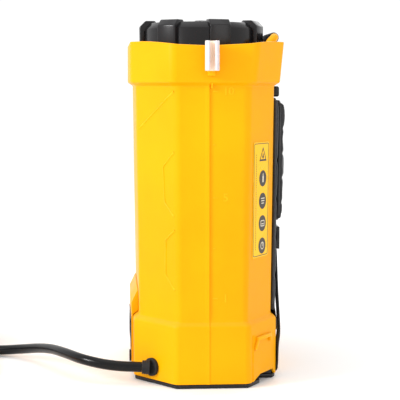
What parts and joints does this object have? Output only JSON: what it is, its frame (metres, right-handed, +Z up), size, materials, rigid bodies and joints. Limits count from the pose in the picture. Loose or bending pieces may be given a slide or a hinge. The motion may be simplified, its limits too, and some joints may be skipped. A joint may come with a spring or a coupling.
{
  "type": "battery knapsack sprayer",
  "caption": "Yellow knapsack sprayer with a ribbed black screw lid, skirted octagonal tank, pump and battery base, hose with trigger handle, and padded harness.",
  "frame": {"origin": "on the floor, under the middle of the sprayer's own box, hose left out", "axes": "+Z up, +X to the side that carries the lance clip, -Y the outward face with the controls, +Y the wearer's side"},
  "size_m": [0.3847, 0.5172, 0.4175],
  "materials": {
    "tank_yellow": "blow-moulded polyethylene, fine satin skin",
    "black_plastic": "moulded, semi-gloss",
    "black_rubber": "moulded soft rubber",
    "hose_rubber": "extruded, satin",
    "clip_white": "natural nylon, slightly translucent",
    "label_film": "printed film",
    "lens_clear": "clear window",
    "bright_steel": "zinc plated",
    "brass": "machined",
    "circuit_green": "coated board",
    "tube_pvc": "clear vinyl",
    "pad_fabric": "spacer mesh over foam",
    "webbing": "woven polypropylene"
  },
  "bodies": {
    "body": {"tank": "tank_yellow", "carry_handle": "tank_yellow", "control_housing": "tank_yellow", "trigger_body": "tank_yellow", "control_panel": "black_plastic", "charge_socket": "black_plastic", "base_plate": "black_plastic", "lower_anchor_left": "black_plastic", "lower_anchor_right": "black_plastic", "battery_pack": "black_plastic", "pump_head": "black_plastic", "outlet_fitting": "black_plastic", "hose_nut": "black_plastic", "upper_anchor_left": "black_plastic", "upper_anchor_right": "black_plastic", "buckle_left": "black_plastic", "buckle_right": "black_plastic", "handle_grip": "black_rubber", "motor_cradle": "black_rubber", "hose_grommet": "black_rubber", "hose": "hose_rubber", "hose_coil": "hose_rubber", "hose_tail": "hose_rubber", "lance_clip": "clip_white", "strainer": "clip_white", "label": "label_film", "charge_lens": "lens_clear", "housing_screw_1": "bright_steel", "housing_screw_2": "bright_steel", "housing_screw_3": "bright_steel", "housing_screw_4": "bright_steel", "pump_motor": "bright_steel", "lever_pin": "bright_steel", "circuit_board": "circuit_green", "suction_tube": "tube_pvc", "delivery_tube": "tube_pvc", "back_pad": "pad_fabric", "shoulder_strap_left": "pad_fabric", "shoulder_strap_right": "pad_fabric", "webbing_left": "webbing", "webbing_right": "webbing"},
    "lid_carrier": {"lid_seal": "black_rubber"},
    "lid": {"lid": "black_plastic", "breather_valve": "black_rubber"},
    "rocker": {"rocker_switch": "black_plastic"},
    "knob": {"pressure_knob": "black_plastic"},
    "cap": {"charge_cap": "black_rubber"},
    "rotor": {"motor_shaft": "bright_steel"},
    "lever": {"trigger_lever": "black_plastic"},
    "spout": {"outlet_nut": "brass"}
  },
  "joints": [
    {"name": "lid_lift", "type": "slide", "parent": "body", "child": "lid_carrier", "axis": [0, 0, 1], "range_m": [0, 0.0121]},
    {"name": "lid_turn", "type": "hinge", "parent": "lid_carrier", "child": "lid", "pos_m": [-0.01144, -0.00075, 0.398], "axis": [0, 0, 1], "range_deg": [0, 540]},
    {"name": "rocker_tilt", "type": "hinge", "parent": "body", "child": "rocker", "pos_m": [-0.03744, -0.07515, 0.045], "axis": [-1, 0, 0], "range_deg": [0, 12]},
    {"name": "knob_turn", "type": "hinge", "parent": "body", "child": "knob", "pos_m": [0.01556, -0.07515, 0.045], "axis": [0, 1, 0], "range_deg": [0, 270]},
    {"name": "cap_swing", "type": "hinge", "parent": "body", "child": "cap", "pos_m": [0.04156, -0.08915, 0.0259], "axis": [-1, 0, 0], "range_deg": [0, 100]},
    {"name": "rotor_spin", "type": "hinge", "parent": "body", "child": "rotor", "pos_m": [0.06786, 0.02725, 0.037], "axis": [1, 0, 0], "continuous": true},
    {"name": "lever_swing", "type": "hinge", "parent": "body", "child": "lever", "pos_m": [0.12786, -0.30175, 0.0128], "axis": [0, 0, -1], "range_deg": [0, 7], "stiffness_Nm_per_rad": 0.6},
    {"name": "spout_spin", "type": "hinge", "parent": "body", "child": "spout", "pos_m": [0.13986, -0.28075, 0.0128], "axis": [1, 0, 0], "continuous": true}
  ],
  "couplings": [
    {"joint": "lid_lift", "follows": "lid_turn", "m_per_rad": 0.0012732}
  ]
}
